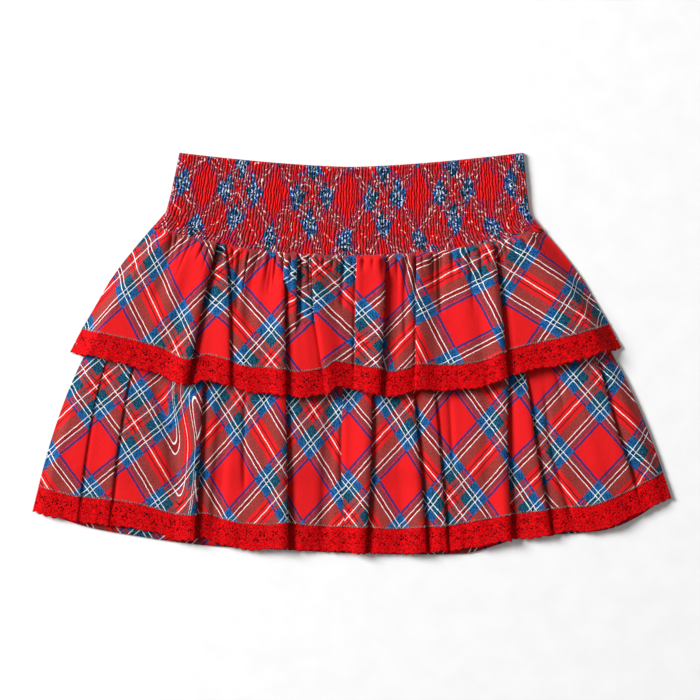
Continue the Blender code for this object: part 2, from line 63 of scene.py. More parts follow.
folding = {
    "crestShare": 0.72, "drop": 2.2, "riseReach": 19.0, "recessReach": 13.0, "rounded": 0.4,
    "valleyHalf": 6.0, "ridgeHalf": 13.0, "pinchHalf": 2.2, "pinchSharp": 1.3, "pinchDeep": 1.7,
    "lift": 3.4, "fade": 0.14,
    "topShare": 0.7,         # how far out a lower fold is at the waist, of its place halfway down
    "spill": 0.4,            # how far a crest spills over its recess, as a share of its height
    "dropSteps": 8, "foot": 0.78,      # the columns across a drop, and where among them it ends
    "endLean": 0.35,         # how much of its bend a curve keeps past its ends
    "cleft": 0.5, "cleftHalf": 1.4, "cleftAt": 0.8,      # the groove at the foot of a drop
}

stations = (0.0, 0.5, 0.75, 1.0)
foldColumns = ("name", "kind", "top", "half", "low", "hem", "hemY", "start", "end", "height")


def upperFold(name, kind, top, mid, hem, hemY, start=0.0, end=1.0, height=0.0):
    row = (name, kind, top, mid, (mid + hem) / 2, hem, hemY, start, end, height)
    return dict(zip(foldColumns, row))


def lowerFold(name, kind, half, low, hem, hemY, start=0.0, end=1.0, height=0.0):
    row = (name, kind, folding["topShare"] * half, half, low, hem, hemY, start, end, height)
    return dict(zip(foldColumns, row))


upperFolds = [upperFold(*row) for row in (
    # name, kind, top, mid, hem, hemY, start, end, height
    ("leftEdge", "free", -190.0, -228.6, -257.0, 23.7),
    ("leftCrease", "valley", -170.7, -180.0, -205.0, 12.5, 0.05, 0.6, 2.5),
    ("leftRoll", "ridge", -144.1, -168.8, -182.1, 6.6, 0.0, 0.8, 3.5),
    ("leftDrop", "left", -130.5, -143.2, -153.6, -5.2, 0.0, 1.0, 9.0),
    ("leftBay", "free", -126.5, -131.0, -137.5, -1.0),
    ("twinDrop", "left", -121.0, -117.0, -116.0, -6.0, 0.0, 1.0, 4.0),
    ("twinPinch", "pinch", -106.1, -109.0, -105.2, -10.5, 0.0, 0.5, 2.5),
    ("slantValley", "valley", -88.0, -98.0, -91.9, -12.4, 0.0, 0.65, 3.0),
    ("shortPinch", "pinch", -75.0, -79.5, -79.5, -13.0, 0.0, 0.35, 2.0),
    ("centreLeftDrop", "left", -64.3, -65.3, -64.3, -14.7, 0.25, 1.0, 7.0),
    ("gatherDrop", "left", -52.9, -53.4, -51.0, -17.1, 0.0, 0.6, 5.0),
    ("riseOver", "right", -36.3, -33.9, -26.0, -13.5, 0.0, 1.0, 6.0),
    ("riseFlat", "free", -22.5, -22.5, -15.9, -6.7),
    ("middlePinch", "pinch", -7.8, -8.9, -6.4, -8.1, 0.0, 0.45, 3.0),
    ("middleValley", "right", 6.0, 4.6, 4.1, -10.0, 0.0, 1.0, 4.5),
    ("centreRightDrop", "left", 29.7, 28.5, 25.9, -13.8, 0.0, 1.0, 8.0),
    ("recessValley", "valley", 40.2, 41.6, 38.0, -16.4, 0.1, 0.95, 3.0),
    ("recessPinch", "pinch", 50.6, 50.5, 51.6, -14.3, 0.0, 0.7, 2.5),
    ("rightOver", "right", 63.0, 63.0, 62.0, -9.6, 0.0, 1.0, 6.0),
    ("rightPinch", "pinch", 82.0, 84.8, 91.5, -10.4, 0.0, 0.5, 3.0),
    ("rightRoll", "ridge", 104.8, 108.6, 114.3, -8.6, 0.0, 1.0, 2.5),
    ("rightGather", "pinch", 121.0, 125.7, 128.5, -5.0, 0.0, 0.3, 2.0),
    ("rightDrop", "left", 131.4, 138.0, 142.8, 1.8, 0.0, 1.0, 9.0),
    ("rightBay", "free", 143.7, 151.3, 159.9, 6.7),
    ("rightFall", "ridge", 162.5, 187.4, 203.6, 16.4, 0.0, 1.0, 2.5),
    ("rightEdge", "free", 182.5, 218.5, 245.4, 28.0),
)]

lowerFolds = [lowerFold(*row) for row in (
    # name, kind, half, low, hem, hemY, start, end, height
    ("leftEdge", "free", -256.0, -280.8, -298.1, -126.0),
    ("outerDrop", "left", -235.3, -249.6, -258.1, -135.9, 0.3, 1.0, 1.7),
    ("leftDrop", "left", -209.7, -221.1, -228.7, -138.7, 0.3, 1.0, 2.4),
    ("leftFlat", "free", -198.3, -198.3, -191.6, -145.4),
    ("leftValley", "valley", -184.0, -170.7, -166.0, -152.4, 0.5, 0.9, 4.0),
    ("bayDrop", "left", -143.2, -146.0, -149.8, -153.0, 0.2, 1.0, 8.0),
    ("bayFloor", "free", -132.7, -135.6, -139.6, -151.6),
    ("bayValley", "valley", -116.6, -124.2, -128.5, -155.0, 0.3, 1.0, 4.5),
    ("bayPinch", "pinch", -100.4, -102.3, -100.4, -161.4, 0.5, 0.85, 2.5),
    ("bayRoll", "ridge", -83.3, -83.3, -81.4, -162.0, 0.2, 1.0, 3.0),
    ("centreLeftDrop", "left", -65.3, -64.3, -62.9, -160.4, 0.2, 1.0, 9.0),
    ("recess", "free", -41.5, -43.4, -45.3, -162.4),
    ("middleValley", "valley", -18.0, -22.5, -25.4, -163.8, 0.3, 1.0, 4.0),
    ("middlePinch", "pinch", -8.5, -10.0, -6.4, -164.4, 0.6, 0.85, 2.0),
    ("centreRightDrop", "left", 16.9, 16.0, 12.2, -164.8, 0.2, 1.0, 8.0),
    ("rightFlat", "free", 34.5, 38.3, 38.3, -166.2),
    ("slantDrop", "left", 56.3, 62.5, 67.7, -164.6, 0.3, 1.0, 7.0),
    ("slantValley", "left", 77.2, 83.4, 88.5, -163.8, 0.3, 1.0, 4.0),
    ("rightPinch", "pinch", 92.3, 96.3, 103.5, -161.4, 0.45, 0.8, 2.0),
    ("rightRoll", "ridge", 119.0, 120.0, 124.7, -157.2, 0.2, 1.0, 3.0),
    ("rightDrop", "left", 145.6, 145.2, 148.0, -153.2, 0.2, 1.0, 9.0),
    ("rightValley", "left", 164.0, 173.0, 184.5, -148.4, 0.3, 1.0, 6.0),
    ("outerPinch", "pinch", 181.0, 189.0, 206.5, -145.8, 0.6, 1.0, 2.5),
    ("shortPinch", "pinch", 195.0, 207.0, 224.5, -144.9, 0.4, 0.6, 2.0),
    ("outerRoll", "ridge", 215.0, 228.3, 243.5, -139.2, 0.2, 1.0, 3.0),
    ("outerValley", "left", 232.0, 249.0, 269.0, -127.4, 0.35, 0.98, 5.0),
    ("rightEdge", "free", 247.5, 275.2, 296.4, -112.7),
)]

backHems = {
    "upper": ((-257.0, 23.7), (-190.0, 8.0), (-110.0, -7.0), (0.0, -13.0), (110.0, -8.0),
              (190.0, 12.5), (245.4, 28.0)),
    "lower": ((-299.0, -145.0), (-253.0, -163.6), (-213.0, -171.6), (-135.0, -182.4),
              (-50.0, -187.2), (0.0, -189.6), (70.0, -191.0), (104.0, -190.0), (137.0, -181.4),
              (158.0, -173.8), (205.0, -171.0), (235.0, -168.0), (264.0, -156.8), (297.0, -131.5)),
    "stepY": -62.0, "step": 10.0, "laceLap": 7.0,
}


def ease(t):
    t = np.clip(t, 0.0, 1.0)
    return t * t * (3.0 - 2.0 * t)


def through(at, knots, values):
    # a smooth curve through a few points that doesn't overshoot between them
    knots, values, at = (np.asarray(a, float) for a in (knots, values, at))
    span = np.diff(knots)
    slope = np.diff(values) / span
    lean = folding["endLean"]
    tangent = np.empty(len(knots))
    tangent[0] = slope[0] + lean * (slope[0] - slope[1])
    tangent[-1] = slope[-1] + lean * (slope[-1] - slope[-2])
    for i in range(1, len(slope)):
        a, b = slope[i - 1], slope[i]
        tangent[i] = 0.0 if a * b <= 0.0 else 2.0 * a * b / (a + b)
    k = np.clip(np.searchsorted(knots, at, side="left") - 1, 0, len(slope) - 1)
    t = (at - knots[k]) / span[k]
    inside = (values[k] + (values[k + 1] - values[k]) * t * t * (3.0 - 2.0 * t)
              + tangent[k] * span[k] * t * (1.0 - t) ** 2
              - tangent[k + 1] * span[k] * t * t * (1.0 - t))
    return np.where(t > 1.0, values[k + 1] + tangent[k + 1] * (t - 1.0) * span[k], inside)


def seamY(x):
    return waist["seamY"] + waist["seamRise"] * np.abs(x / waist["seamHalf"]) ** waist["seamPower"]


def waistY(x):
    return waist["topY"] + waist["topRise"] * np.abs(x / waist["topHalf"]) ** waist["topPower"]


def bandEdge(side, v):
    return through(v, waist["down"], waist[side])


# Meshes

def makeMesh(name, points, faces, uv, material):
    # points are in mm, faces are quads of indices, and uv has a place on the cloth for each corner
    mesh = bpy.data.meshes.new(name)
    points = np.asarray(points, np.float32) * mm
    faces = np.asarray(faces, np.int32)
    mesh.vertices.add(len(points))
    mesh.vertices.foreach_set("co", points.ravel())
    mesh.loops.add(faces.size)
    mesh.loops.foreach_set("vertex_index", faces.ravel())
    mesh.polygons.add(len(faces))
    mesh.polygons.foreach_set("loop_start", np.arange(0, faces.size, faces.shape[1], dtype=np.int32))
    mesh.update(calc_edges=True)
    layer = mesh.uv_layers.new(name="cloth")
    layer.data.foreach_set("uv", (np.asarray(uv, np.float32) * mm).ravel())
    mesh.materials.append(material)
    mesh.shade_smooth()
    thing = bpy.data.objects.new(name, mesh)
    scene.collection.objects.link(thing)
    return thing


def corners(grid):
    # what the four corners of each quad hold, from a grid whose rows run down the cloth
    return np.stack((grid[:-1, :-1], grid[1:, :-1], grid[1:, 1:], grid[:-1, 1:]), axis=2)


def flatten(thing):
    # turns the evaluated object into a plain mesh, with no modifiers left
    bpy.context.view_layer.update()
    graph = bpy.context.evaluated_depsgraph_get()
    mesh = bpy.data.meshes.new_from_object(thing.evaluated_get(graph))
    old = thing.data
    thing.modifiers.clear()
    thing.data = mesh
    mesh.name = thing.name
    if isinstance(old, bpy.types.Mesh) and old.users == 0:
        bpy.data.meshes.remove(old)
    return thing


def clothShell(name, points, cornerUV, material, thickness, keep=None, grooveShade=None):
    # a thin closed shell that hangs below a grid of points
    rows, columns = points.shape[:2]
    quads = corners(np.arange(rows * columns).reshape(rows, columns))
    keep = np.ones(quads.shape[:2], bool) if keep is None else keep
    thing = makeMesh(name, points.reshape(-1, 3), quads[keep], cornerUV[keep], material)
    # where given, an attribute holds how much painted shade each point gets in its colour
    if grooveShade is not None:
        shade = thing.data.attributes.new("grooveShade", "FLOAT", "POINT")
        shade.data.foreach_set("value", np.asarray(grooveShade, np.float32).ravel())
    solid = thing.modifiers.new("thickness", "SOLIDIFY")
    solid.thickness = thickness * mm
    solid.offset = -1.0
    return flatten(thing)


# Materials

def linear(hexColour):
    # sRGB hex to linear RGBA
    parts = [int(hexColour[i:i + 2], 16) / 255.0 for i in (1, 3, 5)]
    return (*[c / 12.92 if c <= 0.04045 else ((c + 0.055) / 1.055) ** 2.4 for c in parts], 1.0)


def put(tree, kind, settings=None, **inputs):
    # adds a node. inputs are values or sockets, by name with _ for a space, or iN by number
    node = tree.nodes.new(kind)
    for key, value in (settings or {}).items():
        setattr(node, key, value)
    for key, value in inputs.items():
        numbered = key[0] == "i" and key[1:].isdigit()
        socket = node.inputs[int(key[1:])] if numbered else node.inputs[key.replace("_", " ")]
        if isinstance(value, bpy.types.NodeSocket):
            tree.links.new(value, socket)
        else:
            socket.default_value = value
    return node


def maths(tree, operation, a, b=0.0, c=0.0):
    return put(tree, "ShaderNodeMath", {"operation": operation}, i0=a, i1=b, i2=c).outputs[0]


def mixColour(tree, factor, a, b, blend="MIX"):
    node = put(tree, "ShaderNodeMix", {"data_type": "RGBA", "blend_type": blend}, i0=factor)
    for socket, value in ((node.inputs[6], a), (node.inputs[7], b)):
        if isinstance(value, bpy.types.NodeSocket):
            tree.links.new(value, socket)
        else:
            socket.default_value = value
    return node.outputs[2]


def ramp(tree, factor, stops, interpolation="LINEAR"):
    # a colour ramp from (place, RGBA) stops
    node = put(tree, "ShaderNodeValToRGB", Fac=factor)
    band = node.color_ramp
    band.interpolation = interpolation
    while len(band.elements) < len(stops):
        band.elements.new(1.0)
    for element, (place, colour) in zip(band.elements, stops):
        element.position = place
        element.color = colour
    return node


def newMaterial(name, roughness, sheen=0.0, specular=0.3):
    material = bpy.data.materials.new(name)
    material.use_nodes = True
    shader = material.node_tree.nodes["Principled BSDF"]
    shader.inputs["Roughness"].default_value = roughness
    shader.inputs["Specular IOR Level"].default_value = specular
    shader.inputs["Sheen Weight"].default_value = sheen
    shader.inputs["Sheen Roughness"].default_value = 0.5
    return material, material.node_tree, shader


# Half of the check, from the middle of a big red square to the white line that mirrors it.
# wide is in mm, onRed is its colour over red and onBand its yarn where it crosses a dark band.
checkStripes = (
    # name     wide   onRed      onBand     dark band
    ("red", 19.9, "#DC1519", "#DC1519", 0),
    ("blue", 2.4, "#402A66", "#0A5FA4", 1),
    ("red", 1.2, "#D0222C", "#1C4C90", 1),
    ("dusk", 4.8, "#8C2E34", "#0A5086", 1),
    ("white", 0.95, "#F2E9E2", "#EAF2F6", 1),
    ("dark", 3.6, "#8C1416", "#040A18", 1),
    ("white", 0.95, "#F2E9E2", "#EAF2F6", 1),
    ("moss", 10.6, "#96322C", "#08444E", 1),
    ("red", 4.0, "#DC1519", "#DC1519", 0),
    ("line", 1.1, "#4E1C18", "#0A161C", 1),
    ("red", 3.1, "#DC1519", "#DC1519", 0),
    ("white", 0.6, "#F2E9E2", "#EAF2F6", 1),
)
checkHalf = sum(row[1] for row in checkStripes)


def checkRamps(tree, place):
    # two ramps across one set of stripes: the colours over red, and the yarns in the dark bands
    folded = maths(tree, "PINGPONG", place, checkHalf * mm)
    share = maths(tree, "DIVIDE", folded, checkHalf * mm)
    onRed, onBand, at = [], [], 0.0
    for _, wide, red, band, dark in checkStripes:
        onRed.append((at / checkHalf, linear(red)))
        onBand.append((at / checkHalf, (*linear(band)[:3], float(dark))))
        at += wide
    return ramp(tree, share, onRed, "CONSTANT"), ramp(tree, share, onBand, "CONSTANT")


def clothPlace(tree, look):
    # the place on the check: the "cloth" UV map, or on a flat solid its own millimetres turned 45
    # degrees, with the width that its gathers take up
    if not look["flat"]:
        return put(tree, "ShaderNodeUVMap", {"uv_map": "cloth"}).outputs[0]
    place = put(tree, "ShaderNodeTexCoord").outputs["Object"]
    turned = put(tree, "ShaderNodeMapping", Vector=place, Scale=(look["flat"], 1.0, 0.0))
    split = put(tree, "ShaderNodeSeparateXYZ", Vector=turned.outputs[0])
    s = maths(tree, "MULTIPLY", split.outputs[0], math.sqrt(0.5))
    t = maths(tree, "MULTIPLY", split.outputs[1], math.sqrt(0.5))
    return put(tree, "ShaderNodeCombineXYZ", X=maths(tree, "SUBTRACT", s, t),
               Y=maths(tree, "ADD", s, t)).outputs[0]


def tartanMaterial(name, look):
    # Brushed cotton in a traditional red check, cut on the bias. Twill over and under gives the
    # dark bands a mottle of two yarns, and the nap keeps the folds dull. The "cloth" UV map holds
    # the place across the two sets of stripes. The real weave is 0.3 mm, drawn here at 0.9 mm.
    material, tree, shader = newMaterial(name, look["roughness"], look["sheen"], 0.15)
    uv = clothPlace(tree, look)
    wobble = put(tree, "ShaderNodeTexNoise", Vector=uv, Scale=look["wobbleScale"], Detail=2.0)
    centred = put(tree, "ShaderNodeVectorMath", {"operation": "SUBTRACT"},
                  i0=wobble.outputs["Color"], i1=(0.5, 0.5, 0.5)).outputs[0]
    pushed = put(tree, "ShaderNodeVectorMath", {"operation": "MULTIPLY_ADD"},
                 i0=centred, i1=(look["wobble"] * mm,) * 3, i2=uv).outputs[0]
    split = put(tree, "ShaderNodeSeparateXYZ", Vector=pushed)
    warpRed, warpBand = checkRamps(tree, split.outputs[0])
    weftRed, weftBand = checkRamps(tree, split.outputs[1])
    single = mixColour(tree, weftBand.outputs["Alpha"], warpRed.outputs["Color"],
                       weftRed.outputs["Color"])
    single = mixColour(tree, look["redder"], single, linear("#E4181C"))
    mottle = put(tree, "ShaderNodeTexNoise", Vector=uv, Scale=look["mottleScale"], Detail=3.0,
                 Roughness=0.7).outputs["Fac"]
    sharper = put(tree, "ShaderNodeMapRange", Value=mottle, From_Min=0.42, From_Max=0.58)
    crossing = mixColour(tree, sharper.outputs[0], warpBand.outputs["Color"],
                         weftBand.outputs["Color"])
    lighter = mixColour(tree, look["whiteOver"], crossing, mixColour(
        tree, 1.0, warpBand.outputs["Color"], weftBand.outputs["Color"], "LIGHTEN"))
    both = maths(tree, "MULTIPLY", warpBand.outputs["Alpha"], weftBand.outputs["Alpha"])
    colour = mixColour(tree, both, single, lighter)
    anyBand = maths(tree, "MAXIMUM", warpBand.outputs["Alpha"], weftBand.outputs["Alpha"])
    spread = maths(tree, "MULTIPLY_ADD", anyBand, look["bandMottle"], look["redMottle"])
    value = maths(tree, "MULTIPLY_ADD", maths(tree, "SUBTRACT", sharper.outputs[0], 0.5), spread, 1.0)
    shaded = put(tree, "ShaderNodeHueSaturation", Value=value, Color=colour).outputs[0]
    speck = put(tree, "ShaderNodeTexNoise", Vector=uv, Scale=look["speckScale"],
                Detail=1.0).outputs["Fac"]
    green = put(tree, "ShaderNodeSeparateColor", Color=colour).outputs[1]
    white = put(tree, "ShaderNodeMapRange", Value=green, From_Min=0.15, From_Max=0.45,
                To_Min=1.0, To_Max=1.0 - look["whiteKept"]).outputs[0]
    where = maths(tree, "MULTIPLY_ADD", both, 1.0 - look["bandSpecks"],
                  maths(tree, "MULTIPLY", anyBand, look["bandSpecks"]))
    where = maths(tree, "MULTIPLY", where, white)
    for tint, low, high, share in look["specks"]:
        amount = put(tree, "ShaderNodeMapRange", Value=speck, From_Min=low, From_Max=high,
                     To_Max=share).outputs[0]
        shaded = mixColour(tree, maths(tree, "MULTIPLY", amount, where), shaded, linear(tint))
    # painted shade: the low places between the smocking's puckers get a darker colour, multiplied in from
    # a mesh attribute towards this look's shade colour
    if look["grooveShade"]:
        depth = put(tree, "ShaderNodeAttribute", {"attribute_name": "grooveShade"}).outputs["Fac"]
        shadow = ramp(tree, depth, ((0.0, (1.0, 1.0, 1.0, 1.0)), (1.0, linear(look["grooveShade"]))))
        shaded = mixColour(tree, 1.0, shaded, shadow.outputs["Color"], "MULTIPLY")
    tree.links.new(shaded, shader.inputs["Base Color"])
    weave = put(tree, "ShaderNodeTexNoise", Vector=uv, Scale=look["weaveScale"], Detail=2.0)
    crumple = put(tree, "ShaderNodeTexNoise", Vector=uv, Scale=look["crumpleScale"], Detail=3.0)
    first = put(tree, "ShaderNodeBump", Height=crumple.outputs["Fac"], Strength=0.6,
                Distance=look["crumple"] * mm)
    second = put(tree, "ShaderNodeBump", Height=weave.outputs["Fac"], Strength=0.5,
                 Distance=look["weave"] * mm, Normal=first.outputs[0])
    tree.links.new(second.outputs[0], shader.inputs["Normal"])
    shader.inputs["Sheen Tint"].default_value = linear("#FFB0A8")
    return material


# specks: a yarn's colour, the noise where it starts and where it is full, and how much it covers
tierLook = {"roughness": 0.85, "sheen": 0.1, "wobble": 1.6, "wobbleScale": 130.0,
            "mottleScale": 640.0, "bandMottle": 0.42, "redMottle": 0.09, "whiteOver": 0.62,
            "whiteKept": 1.0, "redder": 0.0, "bandSpecks": 0.08, "speckScale": 620.0,
            "specks": (("#0E6CAA", 0.51, 0.61, 0.6), ("#050E1C", 0.47, 0.39, 0.8)),
            "weaveScale": 1200.0, "weave": 0.3, "crumpleScale": 70.0, "crumple": 1.0,
            "grooveShade": None, "flat": None}
# the band's dark red shade colour is painted shade, multiplied into its colour between the puckers
bandLook = dict(tierLook, whiteKept=0.3, redder=0.34, bandSpecks=0.13, wobble=19.0,
                wobbleScale=60.0, mottleScale=420.0, bandMottle=0.5, redMottle=0.15,
                crumpleScale=200.0, crumple=0.8, grooveShade="#480A0A", speckScale=330.0,
                specks=(("#0A5AB4", 0.50, 0.53, 0.65), ("#0A0C24", 0.44, 0.40, 0.6),
                        ("#DCE4EE", 0.60, 0.63, 0.75)))
tartan = tartanMaterial("brushedTartanCotton", tierLook)
smocked = tartanMaterial("smockedTartanCotton", bandLook)
smockedFlat = tartanMaterial("pressedSmockedTartanCotton", dict(bandLook, grooveShade=None, flat=2.25))


def laceMaterial():
    # Close cotton lace, piece-dyed red: the knots read as a coarse, dull, mottled crust. Its colour is a
    # random mottle, plus painted shade where the bump sinks between the knots.
    material, tree, shader = newMaterial("crochetCottonLace", 0.8, 0.0, 0.08)
    uv = put(tree, "ShaderNodeUVMap", {"uv_map": "cloth"}).outputs[0]
    knots = put(tree, "ShaderNodeTexVoronoi", Vector=uv, Scale=760.0).outputs["Distance"]
    cloud = put(tree, "ShaderNodeTexNoise", Vector=uv, Scale=560.0, Detail=3.0).outputs["Fac"]
    mixed = maths(tree, "MULTIPLY_ADD", cloud, 0.8, maths(tree, "MULTIPLY", knots, 0.6))
    # painted shade: the higher this value, the lower the bump and the darker the red, so the pits between
    # the knots are darkened in the colour; the cloud noise adds a random mottle
    colour = ramp(tree, mixed, ((0.42, linear("#F00410")), (0.66, linear("#D0020A")),
                                (0.86, linear("#900004"))))
    tree.links.new(colour.outputs["Color"], shader.inputs["Base Color"])
    bump = put(tree, "ShaderNodeBump", {"invert": True}, Height=mixed, Strength=0.4, Distance=0.4 * mm)
    tree.links.new(bump.outputs[0], shader.inputs["Normal"])
    return material


def plainMaterial(name, colour, dark, roughness, grain, scale):
    # Plain woven cotton: a fine even grain and no shine.
    material, tree, shader = newMaterial(name, roughness, 0.1, 0.2)
    place = put(tree, "ShaderNodeTexCoord").outputs["Object"]
    threads = put(tree, "ShaderNodeTexNoise", Vector=place, Scale=scale, Detail=2.0).outputs["Fac"]
    shades = ramp(tree, threads, ((0.35, linear(dark)), (0.65, linear(colour))))
    tree.links.new(shades.outputs["Color"], shader.inputs["Base Color"])
    bump = put(tree, "ShaderNodeBump", Height=threads, Strength=0.5, Distance=grain * mm)
    tree.links.new(bump.outputs[0], shader.inputs["Normal"])
    return material


lace = laceMaterial()
plainCotton = plainMaterial("plainRedCotton", "#C8141A", "#A80E14", 0.85, 0.2, 1500.0)
overlockThread = plainMaterial("greyPolyesterThread", "#D8C8C0", "#8A5A54", 0.6, 0.1, 900.0)
print("materials ready")


# Tiers

# How the check lies on each stretch of cloth, from one fold to the next one named. redX and redY are
# about the middle of a big red square in mm, and rise and fall are the angles in degrees of the stripes
# that go up and down to the right, to the nearest five. The rows were set by a builder who knew what a
# fit had given for the same stretches, and they stay close to it.
checkColumns = ("start", "redX", "redY", "rise", "fall")
checkShrink = 0.87          # laid mm for each mm of cloth, as the folds take up the rest
upperCheck = (
    ("leftEdge", -153, 80, 45, 65),
    ("leftDrop", -125, 9, 50, 45),
    ("twinDrop", -76, 65, 50, 50),
    ("centreLeftDrop", -38, 3, 45, 55),
    ("riseOver", -28, 13, 45, 50),
    ("middleValley", 17, 80, 45, 55),
    ("centreRightDrop", 38, 58, 50, 75),
    ("rightOver", 110, 31, 30, 65),
    ("rightDrop", 154, 22, 60, 35),
)
lowerCheck = (
    ("leftEdge", -252, -99, 40, 55),
    ("outerDrop", -243, -89, 40, 55),
    ("leftDrop", -218, -135, 40, 60),
    ("leftValley", -159, -73, 45, 65),
    ("bayDrop", -111, -117, 50, 60),
    ("centreLeftDrop", -41, -129, 50, 60),
    ("middlePinch", -3, -83, 50, 50),
    ("centreRightDrop", 50, -122, 50, 60),
    ("slantDrop", 94, -64, 60, 55),
    ("slantValley", 98, -63, 50, 55),
    ("rightDrop", 158, -70, 50, 60),
    ("rightValley", 236, -93, 50, 50),
    ("outerValley", 236, -98, 60, 45),
)


gathering = {"puffDown": 0.36, "margin": 6.0, "longer": 1.6, "longShare": 0.2,
             "startDown": 0.012, "startDepth": 0.4}


class Tier:
    # a gathered front panel: its fold lines give its columns, its outline and its waves

    def __init__(self, folds, check, swell, floor, sideRoll, look):
        self.folds = folds
        self.check = [dict(zip(checkColumns, row)) for row in check]
        self.swell = swell
        self.floor = floor
        self.sideRoll = sideRoll
        self.look = look
        self.half = np.array([folding["drop"] / 2 if f["kind"] in ("left", "right") else 0.0
                              for f in folds])
        index, share, turn = [], [], []
        for k, fold in enumerate(folds):
            steps = folding["dropSteps"] if self.half[k] else 0
            for i in range(steps + 1):
                index.append(k)
                share.append(0.0)
                turn.append(i / steps if steps else 0.5)
            if k + 1 < len(folds):
                span = max(folds[k + 1][at] - fold[at] for at in ("top", "half", "low", "hem"))
                span -= self.half[k] + self.half[k + 1]
                between = max(1, round(span / look["pitch"]) - 1)
                for i in range(between):
                    index.append(k)
                    share.append((i + 1.0) / (between + 1.0))
                    turn.append(np.nan)
        self.index = np.array(index)
        self.share = np.array(share)[:, None]
        self.turn = np.array(turn)[:, None]
        self.inDrop = ~np.isnan(self.turn[:, 0])

    def lines(self, v):
        return np.array([through(v, stations, [f[s] for s in ("top", "half", "low", "hem")])
                         for f in self.folds])

    def strength(self, v):
        rows = []
        for f in self.folds:
            grow = 1.0 if f["start"] <= 0.0 else ease((v - f["start"]) / folding["fade"] + 0.5)
            fade = 1.0 if f["end"] >= 1.0 else 1.0 - ease((v - f["end"]) / folding["fade"] + 0.5)
            rows.append(grow * fade * np.ones_like(v))
        return np.array(rows)

    def columnX(self, v, spilled):
        # x of every column (first axis) at every v (second axis)
        lines, half = self.lines(v), self.half
        after = np.minimum(self.index + 1, len(self.folds) - 1)
        here = lines[self.index] + half[self.index][:, None]
        there = lines[after] - half[after][:, None]
        x = here + (there - here) * self.share
        turn = np.where(self.inDrop[:, None], self.turn, 0.5)
        around = lines[self.index] + (turn - 0.5) * 2 * half[self.index][:, None]
        x = np.where(self.inDrop[:, None], around, x)
        if spilled:
            height = np.array([f["height"] for f in self.folds])[:, None]
            over = folding["spill"] * height * self.strength(v) * (half > 0.0)[:, None]
            x = x + np.where(self.inDrop[:, None], over[self.index] * np.sin(2 * math.pi * turn), 0.0)
        return x

    def foldHeight(self, fold, d):
        kind, height = fold["kind"], fold["height"]
        soft = {"valley": (-1, folding["valleyHalf"]), "pinch": (-1, folding["pinchHalf"]),
                "ridge": (1, folding["ridgeHalf"])}
        if kind in soft:
            sign, half = soft[kind]
            sharp = folding["pinchSharp"] if kind == "pinch" else 2.0
            deep = folding["pinchDeep"] if kind == "pinch" else 1.0
            return sign * deep * height * np.exp(-np.abs(d / half) ** sharp)
        if kind == "right":
            d = -d
        crest = folding["crestShare"] * height
        recess = crest - height
        drop = folding["drop"]
        left = crest * (1.0 - ease((-d - drop / 2) / folding["riseReach"]))
        right = recess * (1.0 - ease((d - drop / 2) / folding["recessReach"]))
        across = np.clip(d / drop + 0.5, 0.0, 1.0)
        rounded = folding["rounded"]
        middle = crest + (recess - crest) * (rounded * ease(across) + (1.0 - rounded) * across)
        foot = np.abs((d - drop / 2 - folding["cleftAt"]) / folding["cleftHalf"])
        cleft = folding["cleft"] * height * np.exp(-foot ** folding["pinchSharp"])
        return np.where(d < -drop / 2, left, np.where(d > drop / 2, right, middle)) - cleft

    def hemY(self, x):
        return through(x, [f["hem"] for f in self.folds], [f["hemY"] for f in self.folds])

    def surface(self, v):
        # points (rows, columns, 3) of the outer surface at each v
        v = np.asarray(v, float)
        x = self.columnX(v, False)
        topX = self.columnX(np.zeros(1), False)
        hemX = self.columnX(np.ones(1), False)
        top = seamY(topX) - layers["gap"]
        hem = self.hemY(hemX)
        y = top + (hem - top) * v
        lines, strength = self.lines(v), self.strength(v)
        wave = np.full_like(x, folding["lift"])
        for k, fold in enumerate(self.folds):
            if fold["height"]:
                wave += strength[k] * self.foldHeight(fold, x - lines[k])
        wave *= through(v, (0.0, 0.5, 1.0), self.swell)
        wave += self.gathers(topX, v)
        wave = np.where(wave > 1.0, wave, np.exp(np.minimum(wave, 1.0) - 1.0))
        fromEdge = np.maximum(0.0, np.minimum(x - lines[0], lines[-1] - x))
        edge = ease(fromEdge / self.sideRoll)
        z = self.floor(edge, y, v) + layers["cloth"] + edge * wave
        if self.look["tuck"]:
            under = 1.0 - ease((v + seamTuck["up"]) / seamTuck["reach"])
            z = np.where(z > seamTuck["z"], z + (seamTuck["z"] - z) * under, z)
        points = np.stack((self.columnX(v, True), y, z), axis=-1)
        return points.transpose(1, 0, 2)

    def gathers(self, topX, v):
        # short uneven creases that run down from the seam
        look = self.look
        noise = np.random.default_rng(look["seed"])
        puff = look["gatherPuff"] * (1.0 - ease(v / gathering["puffDown"]))
        total = puff * np.ones((len(topX), 1))
        x = topX.min() + gathering["margin"]
        while x < topX.max() - gathering["margin"]:
            wide = noise.uniform(*look["gatherWide"])
            deep = noise.uniform(*look["gatherDeep"])
            long = noise.uniform(*look["gatherLong"])
            long *= gathering["longer"] if noise.random() < gathering["longShare"] else 1.0
            fade = (1.0 - ease(v / long)) * ease(v / gathering["startDown"] + gathering["startDepth"])
            total -= deep * np.exp(-np.abs((topX - x) / wide) ** look["gatherSharp"]) * fade
            x += noise.uniform(*look["gatherStep"])
        return total

    def firstColumn(self, name):
        # the column where a stretch of cloth begins: at the foot of its drop, if it has one
        k = [f["name"] for f in self.folds].index(name)
        mine = np.flatnonzero((self.index == k) & self.inDrop)
        if self.folds[k]["kind"] not in ("left", "right"):
            return mine[0]
        foot = folding["foot"] if self.folds[k]["kind"] == "left" else 1.0 - folding["foot"]
        return mine[int(round(foot * (len(mine) - 1)))]

